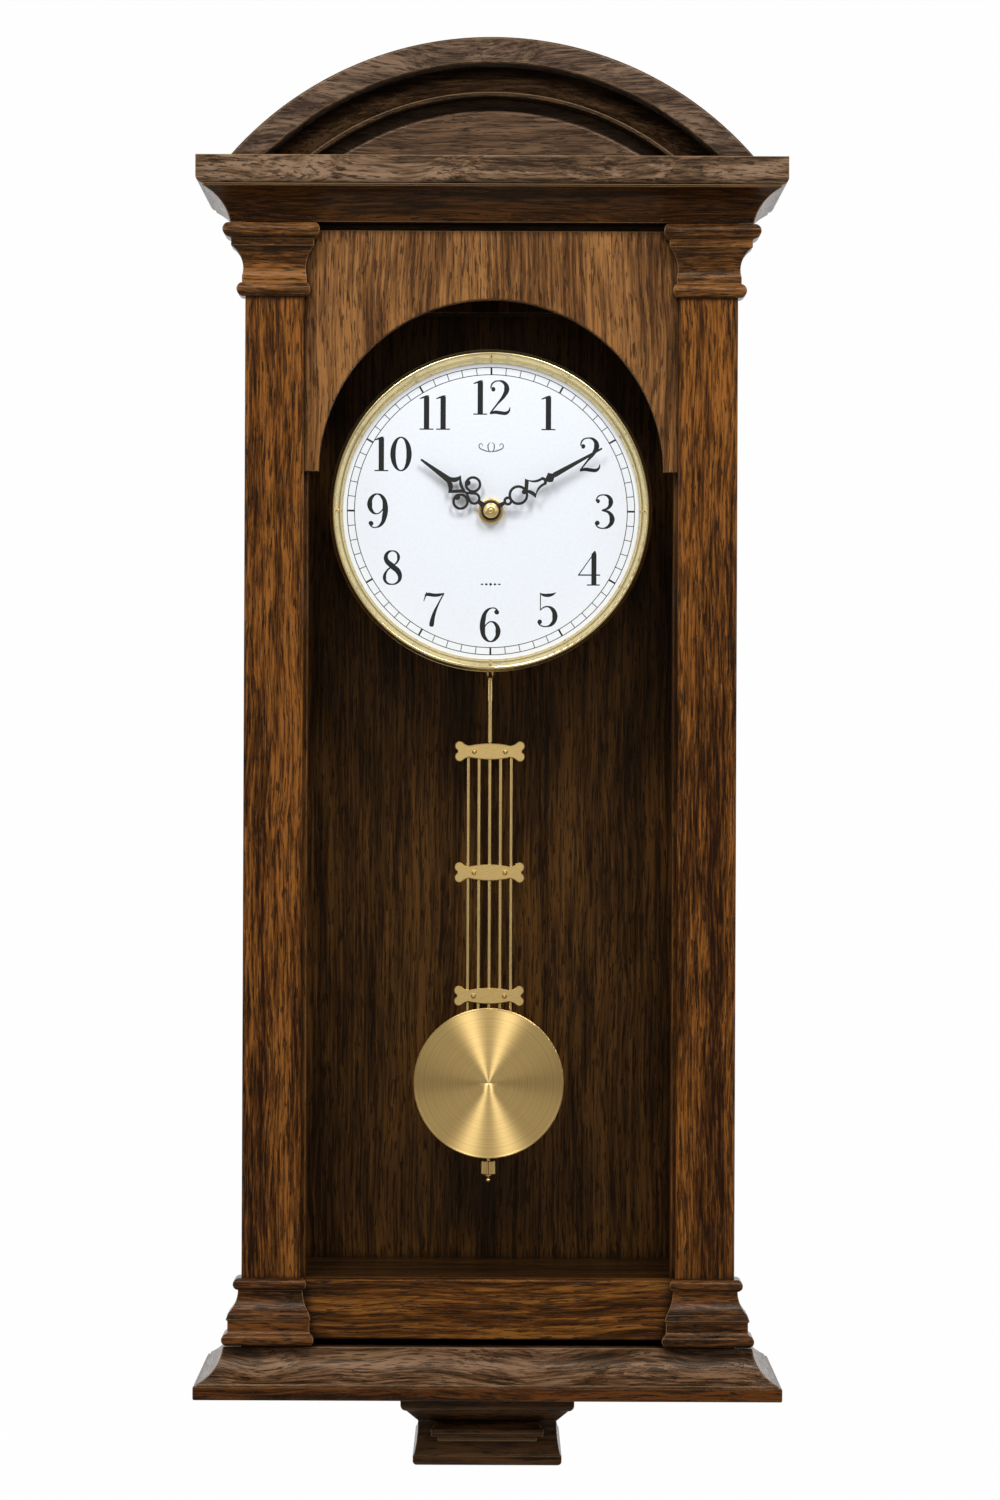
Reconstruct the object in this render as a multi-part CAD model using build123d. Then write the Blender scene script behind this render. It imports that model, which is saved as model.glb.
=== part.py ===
from build123d import *
import math
import os

# A wooden pendulum wall clock with a quartz pendulum movement, in millimetres.
# X is to the right, -Y is towards the room and +Z is up. The wall plane is Y = 0, and the
# origin is the centre of the hanger's round hole on that plane.

# Heights
SLAB_TOP_Z = 50.0
SLAB_BOTTOM_Z = 36.0
CORNICE_BOTTOM_Z = 18.0
ARCH_SPRING_Z = -107.0
DIAL_Z = -125.8
PILASTER_TOP_Z = -19.6
PILASTER_LOW_Z = -513.6
RAIL_TOP_Z = -514.5
RAIL_LOW_Z = -545.0
CASE_BOTTOM_Z = -548.0
PLINTH_BOTTOM_Z = -566.3
BASE_BOTTOM_Z = -573.3
PENDANT_BOTTOM_Z = -609.0

# Widths from the centre line
SIDE_X = 124.0
SIDE_THICK = 15.0
PILASTER_IN_X = 94.3
PILASTER_OUT_X = 124.1
STILE_IN_X = 92.5
SLAB_X = 148.5
BASE_X = 147.5

# Depths from the wall
BACK_THICK = 6.0
STILE_BACK_Y = -84.0
STILE_FRONT_Y = -100.0
PILASTER_FRONT_Y = -114.0
PANEL_FRONT_Y = -108.0
RAIL_FRONT_Y = -110.0
SLAB_FRONT_Y = -130.0

# Pediment
ARCH_R = 175.0
ARCH_APEX_Z = 111.0
BAND_WIDTH = 13.0
COVE_INNER_R = 145.5
FIELD_R = 139.5
ARCH_OPENING_R = 87.0

# Dial and hands
BEZEL_R = 82.0
DIAL_FRONT_Y = -84.0
MINUTE_ANGLE = 60.6
HOUR_ANGLE = 306.0
HAND_THICK = 0.7
HUB_R = 5.0
MINUTE_BORE_R = 1.52
HOUR_BORE_R = 2.97
MINUTE_HAND_BACK_Y = -90.5
HOUR_HAND_BACK_Y = -88.2

# Movement: wheels, pinions and where their arbors stand
MOVEMENT_X = 28.0
MOVEMENT_UP = 30.0
MOVEMENT_DOWN = 42.0
SHELL_FRONT_Y = -82.8
SHELL_JOIN_Y = -72.0
SHELL_BACK_Y = -61.0
SHELL_WALL = 1.4
GOING_MODULE = 0.25
CENTRE_TEETH = 80
THIRD_TEETH = 75
SECOND_TEETH = 60
GOING_PINION = 10
MOTION_MODULE = 0.35
MOTION_TEETH = 36
CANNON_TEETH = 12
HOUR_TEETH = 40
HOUR_PINION = 10
ARBOR_R = 0.6
PIVOT_GAP = 0.06
MOTION_ANGLE = -40.0

# Pendulum
PIVOT_Z = -146.0
PENDULUM_Y = -55.0
MAGNET_Z = -158.8
FERRULE_LOW_Z = -222.0
BOB_Z = -419.0
BOB_R = 38.7
PLATE_Z = (-248.3, -310.7, -374.3)
ROD_PITCH = 5.55
ROD_R = 1.0
RIVET_X = 8.0

# Hanger keyhole
KEYHOLE_R = 5.5
KEYHOLE_SLOT_R = 2.75
KEYHOLE_SLOT_TOP = 14.0
HANGER_THICK = 2.0


def block(x0, x1, y0, y1, z0, z1):
    """A rectangular board between two corners."""
    centre = Pos((x0 + x1) / 2, (y0 + y1) / 2, (z0 + z1) / 2)
    return centre * Box(abs(x1 - x0), abs(y1 - y0), abs(z1 - z0))


def eased(solid, radius, direction):
    """The same solid with its edges along one direction rounded."""
    return fillet(solid.edges().filter_by(direction), radius)


def mirrored(solid):
    """The matching piece on the other side of the centre line."""
    return mirror(solid, about=Plane.YZ)


def pair(solid):
    """A piece and its match on the other side of the centre line."""
    return Compound([solid, mirrored(solid)])


def arc_middle(a, b, bulge):
    """The middle of an arc from a to b that stands `bulge` to the left of its chord."""
    dx = b[0] - a[0]
    dy = b[1] - a[1]
    length = math.hypot(dx, dy)
    return ((a[0] + b[0]) / 2 - dy / length * bulge, (a[1] + b[1]) / 2 + dx / length * bulge)


def edge_between(a, b, bulge=0.0):
    """A straight edge, or an arc where bulge isn't 0."""
    if bulge:
        return ThreePointArc(a, arc_middle(a, b, bulge), b)
    return Line(a, b)


def outline(points):
    """A closed face. A point (x, y, bulge) is reached by an arc, and (x, y) by a straight edge."""
    edges = []
    for a, b in zip(points, points[1:] + points[:1]):
        edges.append(edge_between(a[:2], b[:2], b[2] if len(b) > 2 else 0.0))
    return make_face(edges)


def facing(solid, y, x=0.0, z=0.0):
    """Turn a solid built upwards along +Z so that it is built towards the room from depth y."""
    return Plane((x, y, z), x_dir=(1, 0, 0), z_dir=(0, -1, 0)) * solid


def disc(radius, thick, y, x=0.0, z=0.0, bore=0.0):
    """A round plate, with its back at depth y, and an optional bore."""
    solid = extrude(Circle(radius), thick)
    if bore:
        solid -= extrude(Circle(bore), thick)
    return facing(solid, y, x, z)


def turned(points, y=0.0, x=0.0, z=0.0):
    """A piece turned about the front-to-back axis, from (radius, height to the room) points."""
    return facing(revolve(Plane.XZ * outline(points), Axis.Z), y, x, z)


def turned_upright(points, x, y):
    """A piece turned about an upright axis at (x, y), from (radius, z) points."""
    return Pos(x, y, 0) * revolve(Plane.XZ * outline(points), Axis.Z)


# ---- Mouldings ----


def moulded(x_left, x_right, y_front, y_back, profile, left=1.0, right=1.0):
    """A block whose front and two ends follow one profile, mitred at the corners.

    profile runs from the top down as (overhang, z) or (overhang, z, bulge), with a positive
    bulge for a convex stretch. left and right scale the overhang at the two ends.
    """
    reach = max(point[0] for point in profile) + 5

    def edges(place):
        made = []
        for a, b in zip(profile, profile[1:]):
            start, end = place(a[0], a[1]), place(b[0], b[1])
            if len(b) > 2:
                middle = place(*arc_middle(a[:2], b[:2], b[2]))
                made.append(ThreePointArc(start, middle, end))
            else:
                made.append(Line(start, end))
        return made

    def at_front(out, z):
        return (y_front - out, z)

    def at_left(out, z):
        return (x_left - out * left, z)

    def at_right(out, z):
        return (x_right + out * right, z)

    top, bottom = profile[0], profile[-1]
    front = edges(at_front)
    front.append(Line(at_front(*bottom[:2]), (y_back, bottom[1])))
    front.append(Line((y_back, bottom[1]), (y_back, top[1])))
    front.append(Line((y_back, top[1]), at_front(*top[:2])))
    across = extrude(Plane.YZ.offset(x_left - reach) * make_face(front), x_right - x_left + 2 * reach)

    ends = edges(at_left) + edges(at_right)
    ends.append(Line(at_left(*bottom[:2]), at_right(*bottom[:2])))
    ends.append(Line(at_left(*top[:2]), at_right(*top[:2])))
    depth = y_back - y_front + reach
    through = extrude(Plane.XZ.offset(-y_back) * make_face(ends), depth)
    return across & through


def mitred(solid, core_x, core_y, z0, z1):
    """Split a wrap-round moulding into its front length and its two side lengths."""
    reach = 60
    hollow = solid - block(-core_x, core_x, core_y, 1, z0 - 1, z1 + 1)
    wedge = outline(
        [
            (-core_x, core_y),
            (-core_x - reach, core_y - reach),
            (core_x + reach, core_y - reach),
            (core_x, core_y),
        ]
    )
    prism = Pos(0, 0, z0 - 1) * extrude(wedge, z1 - z0 + 2)
    ends = hollow - prism
    right = ends & block(0, 200, -200, 1, z0 - 1, z1 + 1)
    return hollow & prism, pair(right)


def cornice():
    """The slab with its rounded lower edge, the board below it and the cove round that."""
    round_r = 3.3
    slab_profile = [(0, SLAB_TOP_Z), (0, SLAB_BOTTOM_Z + round_r), (-round_r, SLAB_BOTTOM_Z, 0.9)]
    slab = moulded(-SLAB_X, SLAB_X, SLAB_FRONT_Y, 0, slab_profile)
    foot_x, foot_y, run = 131.8, -115.0, 13.2
    cove_profile = [(run, SLAB_BOTTOM_Z), (run, SLAB_BOTTOM_Z - 1.2), (0, CORNICE_BOTTOM_Z, -2.6)]
    cove = moulded(-foot_x, foot_x, foot_y, 0, cove_profile)
    core_x, core_y = 118.0, -101.2
    front, sides = mitred(cove, core_x, core_y, CORNICE_BOTTOM_Z, SLAB_BOTTOM_Z)
    return {
        "cornice_board": slab,
        "case_top_board": block(-core_x, core_x, core_y, 0, CORNICE_BOTTOM_Z, SLAB_BOTTOM_Z),
        "cornice_front_cove": front,
        "cornice_side_coves": sides,
    }


def base():
    """The square-edged base board, the plinth board on it and the cove round the plinth."""
    edge = 1.0
    slab_profile = [(-edge, PLINTH_BOTTOM_Z), (0, PLINTH_BOTTOM_Z - edge, 0.29)]
    slab_profile += [(0, BASE_BOTTOM_Z + edge), (-edge, BASE_BOTTOM_Z, 0.29)]
    slab = moulded(-BASE_X, BASE_X, SLAB_FRONT_Y, 0, slab_profile)
    top_x, top_y, run = 133.0, -117.0, 13.2
    cove_profile = [(0, CASE_BOTTOM_Z), (0.3, CASE_BOTTOM_Z - 1.2)]
    cove_profile += [(run - 0.6, PLINTH_BOTTOM_Z + 1.0, -2.7), (run - 0.6, PLINTH_BOTTOM_Z)]
    cove = moulded(-top_x, top_x, top_y, 0, cove_profile)
    core_x, core_y = 120.0, -104.0
    front, sides = mitred(cove, core_x, core_y, PLINTH_BOTTOM_Z, CASE_BOTTOM_Z)
    return {
        "base_board": slab,
        "plinth_board": block(-core_x, core_x, core_y, 0, PLINTH_BOTTOM_Z, CASE_BOTTOM_Z),
        "base_front_cove": front,
        "base_side_coves": sides,
    }


def pediment():
    """The arched band, the cove ring inside it and the tympanum board behind, on the slab."""
    centre_z = ARCH_APEX_Z - ARCH_R
    band_in = ARCH_R - BAND_WIDTH
    gap = 0.1
    board_back, board_front = -94.0, -100.0
    above_slab = block(-ARCH_R, ARCH_R, -140, -80, SLAB_TOP_Z, ARCH_APEX_Z + 1)
    ease, band_front = 0.8, 24.0
    band_face = [(band_in, 0), (band_in, band_front - ease), (band_in + ease, band_front)]
    band_face += [(ARCH_R - ease, band_front), (ARCH_R, band_front - ease), (ARCH_R, 0)]
    band = turned(band_face, board_back, 0, centre_z)
    cove_face = [(COVE_INNER_R, 0), (COVE_INNER_R, 13.2), (COVE_INNER_R + 0.8, 14.0, 0.25)]
    cove_face += [(COVE_INNER_R + 2.2, 14.0), (band_in - gap, 3.0, -2.4), (band_in - gap, 0)]
    cove = turned(cove_face, board_front, 0, centre_z)
    ledge, field_front, field_ease = 6.0, 12.0, 1.5
    field_face = [(0, 0), (0, field_front), (FIELD_R - field_ease, field_front)]
    field_face += [(FIELD_R, field_front - field_ease, 0.44), (FIELD_R, ledge)]
    field_face += [(band_in - gap, ledge), (band_in - gap, 0)]
    tympanum = turned(field_face, board_back, 0, centre_z)
    return {
        "pediment_arch": band & above_slab,
        "pediment_cove": cove & above_slab,
        "tympanum_panel": tympanum & above_slab,
    }


def pendant():
    """The small corbel under the base, with a bullnose moulding on its front."""
    neck_x, front_y = 35.0, -103.0
    profile = [(8.8, BASE_BOTTOM_Z), (8.8, -577.5), (5.8, -581.0, 0.9), (0.6, -586.0)]
    profile += [(0, -587.5, -0.3), (1.9, -603.2, -0.5), (2.6, -604.2), (2.6, -606.2)]
    profile += [(0.6, PENDANT_BOTTOM_Z, 0.7)]
    body = moulded(-neck_x, neck_x, front_y, 0, profile)
    bead_x, bead_y = 24.3, -103.0
    bead_profile = [(0.8, -586.6), (3.4, -589.6, 0.3), (4.0, -592.6, 0.6), (2.6, -594.6, 0.6)]
    bead_profile += [(1.0, -595.2), (0.6, -597.4)]
    bead = moulded(-bead_x, bead_x, bead_y, -95, bead_profile)
    return {"pendant_block": body, "pendant_front_bead": bead - body}


# ---- Case ----


def case_boards():
    """Side boards, back, floor and the upright stiles and rails that frame the front."""
    inside_x = SIDE_X - SIDE_THICK
    side = block(inside_x, SIDE_X, STILE_BACK_Y, 0, CASE_BOTTOM_Z, CORNICE_BOTTOM_Z)
    stile = block(STILE_IN_X, SIDE_X, STILE_FRONT_Y, STILE_BACK_Y, CASE_BOTTOM_Z, CORNICE_BOTTOM_Z)
    stile = fillet(stile.edges().filter_by(Axis.Z).sort_by(Axis.X)[:2], 0.6)
    pilaster = block(
        PILASTER_IN_X, PILASTER_OUT_X, PILASTER_FRONT_Y, STILE_FRONT_Y, PILASTER_LOW_Z, PILASTER_TOP_Z
    )
    front_edges = pilaster.edges().filter_by(Axis.Z).sort_by(Axis.Y)[:2]
    pilaster = fillet(front_edges, 1.4)

    service_half = 45.0
    back = block(-inside_x, inside_x, -BACK_THICK, 0, CASE_BOTTOM_Z, CORNICE_BOTTOM_Z)
    back -= block(
        -service_half, service_half, -10, 1, DIAL_Z - service_half, DIAL_Z + service_half
    )
    # The hanging rail, the shallow recess for the hanger and the blind pocket behind its keyhole.
    rail_front, rail_low = -18.0, -19.0
    recess_x, recess_low, recess_top = 20.0, -18.0, 16.5
    pocket_x, pocket_front, pocket_low, pocket_top = 8.0, -14.0, -8.0, 15.0
    pilot_r, pilot_depth = 1.3, 7.0
    back -= block(-recess_x, recess_x, -HANGER_THICK, 1, recess_low, recess_top)
    back += block(-inside_x, inside_x, rail_front, -BACK_THICK, rail_low, CORNICE_BOTTOM_Z)
    back -= block(-pocket_x, pocket_x, pocket_front, 1, pocket_low, pocket_top)
    for x, z in hanger_screw_places():
        back -= disc(pilot_r, pilot_depth + 1, 1, x, z)
    floor_thick = 12.0
    floor = block(
        -inside_x, inside_x, STILE_BACK_Y, -BACK_THICK, RAIL_TOP_Z - floor_thick, RAIL_TOP_Z
    )
    floor += block(
        -STILE_IN_X, STILE_IN_X, STILE_FRONT_Y, STILE_BACK_Y, RAIL_TOP_Z - floor_thick, RAIL_TOP_Z
    )
    rail_half = PILASTER_IN_X - 0.1
    rail = block(-rail_half, rail_half, RAIL_FRONT_Y, STILE_FRONT_Y, RAIL_LOW_Z, RAIL_TOP_Z)
    rail = fillet(rail.edges().filter_by(Axis.X).group_by(Axis.Y)[0], 1.0)
    top_rail_low = -16.0
    top_rail = block(
        -STILE_IN_X, STILE_IN_X, STILE_FRONT_Y, STILE_BACK_Y, top_rail_low, CORNICE_BOTTOM_Z
    )
    return {
        "side_boards": pair(side),
        "front_stiles": pair(stile),
        "pilasters": pair(pilaster),
        "back_panel": back,
        "case_floor_board": floor,
        "lower_rail": rail,
        "top_rail": top_rail,
    }


def arch_panel():
    """The thin front panel between the pilasters, cut to a half circle that frames the dial."""
    half, panel_top = PILASTER_IN_X - 0.1, 14.4
    panel = block(-half, half, PANEL_FRONT_Y, STILE_FRONT_Y, ARCH_SPRING_Z, panel_top)
    cutter = disc(ARCH_OPENING_R, 20, STILE_FRONT_Y + 5, 0, ARCH_SPRING_Z)
    panel -= cutter
    round_edges = panel.edges().filter_by(GeomType.CIRCLE).sort_by(Axis.Y)[:1]
    return {"arch_panel": fillet(round_edges, 0.8)}


def capital_and_foot():
    """The moulded cap and foot of a pilaster, notched on the inside for the panel and rail."""
    top_profile = [(8.6, 16.8), (8.6, 9.8, 2.4), (6.9, 9.1), (6.9, 5.5), (1.6, -9.4, -2.6)]
    top_profile += [(1.6, -12.6), (1.6, PILASTER_TOP_Z, 2.6)]
    foot_profile = [(1.6, PILASTER_LOW_Z), (1.6, -519.6, 2.5), (1.6, -520.3), (6.4, -531.0, -1.1)]
    foot_profile += [(7.4, -534.0), (6.6, -534.6), (6.6, -539.9), (7.3, -541.0)]
    foot_profile += [(7.3, -547.0, 2.3)]
    inner_share = 0.72
    pieces = {}
    for name, profile, notch_y in (
        ("capitals", top_profile, PANEL_FRONT_Y),
        ("pilaster_feet", foot_profile, RAIL_FRONT_Y),
    ):
        z_high, z_low = profile[0][1], profile[-1][1]
        solid = moulded(
            PILASTER_IN_X, PILASTER_OUT_X, PILASTER_FRONT_Y, STILE_FRONT_Y, profile, inner_share, 1.0
        )
        solid -= block(60, PILASTER_IN_X - 0.05, notch_y, -90, z_low - 1, z_high + 1)
        core_top = CORNICE_BOTTOM_Z if name == "capitals" else z_high
        core_low = z_low if name == "capitals" else CASE_BOTTOM_Z
        solid += block(
            PILASTER_IN_X, PILASTER_OUT_X, PILASTER_FRONT_Y, STILE_FRONT_Y, core_low, core_top
        )
        pieces[name] = pair(solid)
    return pieces


def hanger_screw_places():
    """Where the hanger's four screws stand, as (x, z)."""
    return [(x, z) for x in (-14.0, 14.0) for z in (-12.5, 11.0)]


def hanger():
    """The keyhole plate let into the back panel, and its four countersunk screws."""
    plate = block(-19.8, 19.8, -HANGER_THICK, 0, -17.8, 16.3)
    plate = fillet(plate.edges().filter_by(Axis.Y), 2.0)
    plate -= disc(KEYHOLE_R, 4, 1)
    slot = block(-KEYHOLE_SLOT_R, KEYHOLE_SLOT_R, -4, 1, 0, KEYHOLE_SLOT_TOP - KEYHOLE_SLOT_R)
    plate -= slot
    plate -= disc(KEYHOLE_SLOT_R, 4, 1, 0, KEYHOLE_SLOT_TOP - KEYHOLE_SLOT_R)
    head_r, shank_r, inset = 2.6, 1.2, 0.1
    profile = [(0, 0), (head_r, 0), (shank_r, head_r - shank_r), (shank_r, 4.5), (0, 5.5)]
    hole = [(0, -1), (head_r + inset, -1), (head_r + inset, 0)]
    hole += [(shank_r + inset, head_r - shank_r), (shank_r + inset, 7), (0, 7)]
    screws = []
    for x, z in hanger_screw_places():
        screws.append(turned(profile, 0, x, z))
        plate -= turned(hole, 0, x, z)
    return {"hanger_plate": plate, "hanger_screws": Compound(screws)}


# ---- Dial and hands ----


def dial():
    """The white dial plate, its brass bezel with four pins, and the two posts behind it."""
    plate_r, plate_thick = 79.5, 1.0
    plate = disc(plate_r, plate_thick, DIAL_FRONT_Y + plate_thick, 0, DIAL_Z, bore=4.1)
    ring = [(75.5, 2.1), (75.5, 3.0), (76.6, 5.2, -0.2), (79.0, 9.2, -0.5), (79.8, 9.7, 0.15)]
    ring += [(80.6, 9.3, 0.15), (81.4, 7.4, 0.2), (BEZEL_R, 6.6, -0.1), (BEZEL_R, 0.4)]
    ring += [(81.6, 0, 0.1), (79.7, 0), (79.7, 2.1)]
    bezel = turned(ring, -82.0, 0, DIAL_Z)
    pin_r, pin_at = 0.5, 77.6
    pins = []
    for angle in (0, 90, 180, 270):
        x = pin_at * math.sin(math.radians(angle))
        z = DIAL_Z + pin_at * math.cos(math.radians(angle))
        pin = turned([(0, 0), (pin_r, 0), (pin_r, 4.2), (0, 4.5)], -85.0, x, z)
        bezel -= disc(pin_r + 0.03, 10, -85.0, x, z)
        pins.append(pin)
    post_in, post_out, post_down, post_up = 56.0, 68.0, 34.0, 36.0
    post_front = DIAL_FRONT_Y + plate_thick
    post = block(post_in, post_out, post_front, -BACK_THICK, DIAL_Z - post_down, DIAL_Z + post_up)
    return {
        "dial_plate": plate,
        "dial_bezel": bezel,
        "bezel_pins": Compound(pins),
        "dial_posts": pair(post),
    }


def ring_face(x, y, outer, inner):
    """A flat ring, the loop of a pierced hand."""
    return Pos(x, y) * (Circle(outer) - Circle(inner))


def minute_hand_face():
    """The pierced minute hand, drawn pointing up, before its bore."""
    face = Circle(HUB_R) + outline([(1.2, 4.2), (0.85, 8.4), (-0.85, 8.4), (-1.2, 4.2)])
    face += ring_face(0, 9.9, 2.3, 1.0)
    face += ring_face(0, 16.0, 5.05, 3.7)
    tulip = outline(
        [(0, 19.4), (5.7, 23.0, 0.5), (2.2, 31.0, 1.3), (-2.2, 31.0, -1.3), (-5.7, 23.0, 1.3)]
    )
    tulip -= outline(
        [(0, 21.6), (3.6, 24.1, 0.4), (0.85, 30.2, 0.9), (-0.85, 30.2, -0.6), (-3.6, 24.1, 0.9)]
    )
    face += tulip
    face += Pos(0, 19.4) * Circle(1.25)
    face += outline([(0, 31.2), (2.6, 34.7, -0.5), (0, 38.8, 0.3), (-2.6, 34.7, 0.3)])
    face += outline([(1.35, 36.8), (0.45, 64.4), (-0.45, 64.4, -0.35), (-1.35, 36.8)])
    return face


def hour_hand_face():
    """The pierced hour hand, drawn pointing up, before its bore."""
    face = Circle(HUB_R) + outline([(1.4, 4.2), (1.0, 8.2), (-1.0, 8.2), (-1.4, 4.2)])
    petal = Pos(0, 10.5) * Circle(3.2) + outline([(3.0, 11.6), (0, 16.6), (-3.0, 11.6)])
    hollow = Pos(0, 10.5) * Circle(1.95) + outline([(1.8, 11.25), (0, 14.2), (-1.8, 11.25)])
    face += petal - hollow
    for side in (-1, 1):
        face += ring_face(side * 5.4, 15.2, 4.2, 2.9)
        face += Pos(side * 4.5, 17.9) * Circle(1.5)
    spade = outline(
        [(0, 15.4), (5.6, 22.9, 0.7), (1.5, 27.2, 0.7), (-1.5, 27.2), (-5.6, 22.9, 0.7)]
    )
    spade -= outline([(0, 18.5), (3.2, 22.2, 0.6), (0, 24.8, 0.6), (-3.2, 22.2, 0.6)])
    face += spade
    face += outline([(1.6, 26.8), (0.55, 43.8), (-0.55, 43.8, -0.4), (-1.6, 26.8)])
    return face


def hands():
    """Both hands, and the domed nut that holds them."""
    minute = extrude(minute_hand_face() - Circle(MINUTE_BORE_R), HAND_THICK)
    hour = extrude(hour_hand_face() - Circle(HOUR_BORE_R), HAND_THICK)
    nut_back_y, nut_bore_depth = MINUTE_HAND_BACK_Y - HAND_THICK - 0.05, 2.0
    dome = [(0, 0), (3.7, 0), (3.9, 0.3), (3.9, 0.9), (3.0, 1.9, -0.3), (1.6, 2.4, -0.1)]
    dome += [(1.2, 3.3, 0.15), (0.7, 3.7, -0.08), (0, 3.8)]
    nut = turned(dome, nut_back_y, 0, DIAL_Z)
    nut -= disc(MINUTE_BORE_R, nut_bore_depth, nut_back_y, 0, DIAL_Z)
    return {
        "minute_hand": facing(Rot(0, 0, -MINUTE_ANGLE) * minute, MINUTE_HAND_BACK_Y, 0, DIAL_Z),
        "hour_hand": facing(Rot(0, 0, -HOUR_ANGLE) * hour, HOUR_HAND_BACK_Y, 0, DIAL_Z),
        "hand_nut": nut,
    }


# ---- Movement ----


def gear_face(teeth, module, turn=0.0):
    """A spur wheel's outline: straight-sided teeth, thinned so that a pair runs with backlash."""
    pitch_r = teeth * module / 2
    tip_r = pitch_r + 0.85 * module
    root_r = pitch_r - 1.15 * module
    step = 2 * math.pi / teeth
    half_at_pitch = 0.40 * math.pi * module / 2 / pitch_r
    half_at_tip = 0.19 * math.pi * module / 2 / tip_r
    half_at_root = 0.56 * math.pi * module / 2 / root_r
    points = []
    for tooth in range(teeth):
        middle = math.radians(turn) + tooth * step
        for radius, offset in (
            (root_r, -half_at_root),
            (pitch_r, -half_at_pitch),
            (tip_r, -half_at_tip),
            (tip_r, half_at_tip),
            (pitch_r, half_at_pitch),
            (root_r, half_at_root),
        ):
            points.append((radius * math.cos(middle + offset), radius * math.sin(middle + offset)))
    return make_face(Polyline(*points, close=True))


def meshed_turn(teeth, toward, driver_teeth, driver_turn):
    """The turn, in degrees, that puts a wheel's gap on the driver's tooth along `toward`.

    toward is the direction from the driver's centre to the wheel's centre, in degrees.
    """
    driver_phase = (toward - driver_turn) / (360 / driver_teeth)
    offset = driver_phase - math.floor(driver_phase)
    pitch = 360 / teeth
    return toward + 180 + pitch * (0.5 + offset)


def wheel(teeth, module, thick, y, x, z, turn=0.0, bore=0.0):
    """A toothed wheel with its back at depth y."""
    face = gear_face(teeth, module, turn)
    if bore:
        face -= Circle(bore)
    return facing(extrude(face, thick), y, x, z)


def arbor_places():
    """Where each arbor stands, as (x, z)."""
    third_distance = (CENTRE_TEETH + GOING_PINION) * GOING_MODULE / 2
    motion_distance = (CANNON_TEETH + MOTION_TEETH) * MOTION_MODULE / 2
    knob_distance = 2 * motion_distance
    cos, sin = math.cos(math.radians(MOTION_ANGLE)), math.sin(math.radians(MOTION_ANGLE))
    return {
        "centre": (0.0, DIAL_Z),
        "third": (-third_distance, DIAL_Z),
        "motion": (motion_distance * cos, DIAL_Z + motion_distance * sin),
        "knob": (knob_distance * cos, DIAL_Z + knob_distance * sin),
    }


def shaft(radius, y_back, y_front, x, z):
    """A plain round arbor."""
    return disc(radius, y_back - y_front, y_back, x, z)


def train():
    """The going train behind the hands, the motion work in front of it, and the knob."""
    at = arbor_places()
    motion_distance = (CANNON_TEETH + MOTION_TEETH) * MOTION_MODULE / 2
    hour_module = 2 * motion_distance / (HOUR_TEETH + HOUR_PINION)
    third_distance = (CENTRE_TEETH + GOING_PINION) * GOING_MODULE / 2
    second_module = 2 * third_distance / (THIRD_TEETH + GOING_PINION)

    centre = wheel(CENTRE_TEETH, GOING_MODULE, 0.8, -76.8, *at["centre"])
    centre += wheel(CANNON_TEETH, MOTION_MODULE, 1.1, -78.5, *at["centre"])
    centre += shaft(1.5, -76.2, -79.8, *at["centre"])
    centre += shaft(2.13, -79.7, -90.45, *at["centre"])
    centre += shaft(1.5, -90.45, -93.1, *at["centre"])
    centre -= shaft(ARBOR_R + PIVOT_GAP, -76.2, -78.4, *at["centre"])

    third_turn = meshed_turn(GOING_PINION, 180, CENTRE_TEETH, 0)
    third = wheel(GOING_PINION, GOING_MODULE, 2.6, -75.4, *at["third"], third_turn)
    third += wheel(THIRD_TEETH, second_module, 0.8, -74.4, *at["third"], third_turn)
    third += shaft(ARBOR_R, -70.6, -82.0, *at["third"])

    second_turn = meshed_turn(GOING_PINION, 0, THIRD_TEETH, third_turn)
    second = wheel(GOING_PINION, second_module, 2.2, -73.4, *at["centre"], second_turn)
    second += wheel(SECOND_TEETH, GOING_MODULE, 0.8, -72.6, *at["centre"])
    second += shaft(ARBOR_R, -70.6, -78.1, *at["centre"])

    motion_turn = meshed_turn(MOTION_TEETH, MOTION_ANGLE, CANNON_TEETH, 0)
    post_hole = 0.7
    motion = wheel(MOTION_TEETH, MOTION_MODULE, 0.8, -78.7, *at["motion"], motion_turn)
    motion += wheel(HOUR_PINION, hour_module, 1.7, -79.5, *at["motion"], motion_turn)
    motion -= shaft(post_hole, -78.0, -82.0, *at["motion"])

    hour_turn = meshed_turn(HOUR_TEETH, MOTION_ANGLE + 180, HOUR_PINION, motion_turn)
    hour = wheel(HOUR_TEETH, hour_module, 1.0, -80.1, *at["centre"], hour_turn)
    hour += shaft(2.95, -80.1, -89.0, *at["centre"])
    hour -= shaft(2.2, -79.0, -90.0, *at["centre"])

    knob_turn = meshed_turn(CANNON_TEETH, MOTION_ANGLE, MOTION_TEETH, motion_turn)
    knob = wheel(CANNON_TEETH, MOTION_MODULE, 1.4, -78.3, *at["knob"], knob_turn)
    knob += shaft(ARBOR_R, -78.3, -82.0, *at["knob"])
    knob += shaft(1.2, -57.5, -78.3, *at["knob"])
    grip = extrude(gear_face(24, 0.42), 3.0)
    knob += facing(grip, -57.5, *at["knob"])
    return {
        "centre_wheel": centre,
        "third_wheel": third,
        "second_wheel": second,
        "motion_wheel": motion,
        "hour_wheel": hour,
        "setting_knob": knob,
    }


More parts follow.
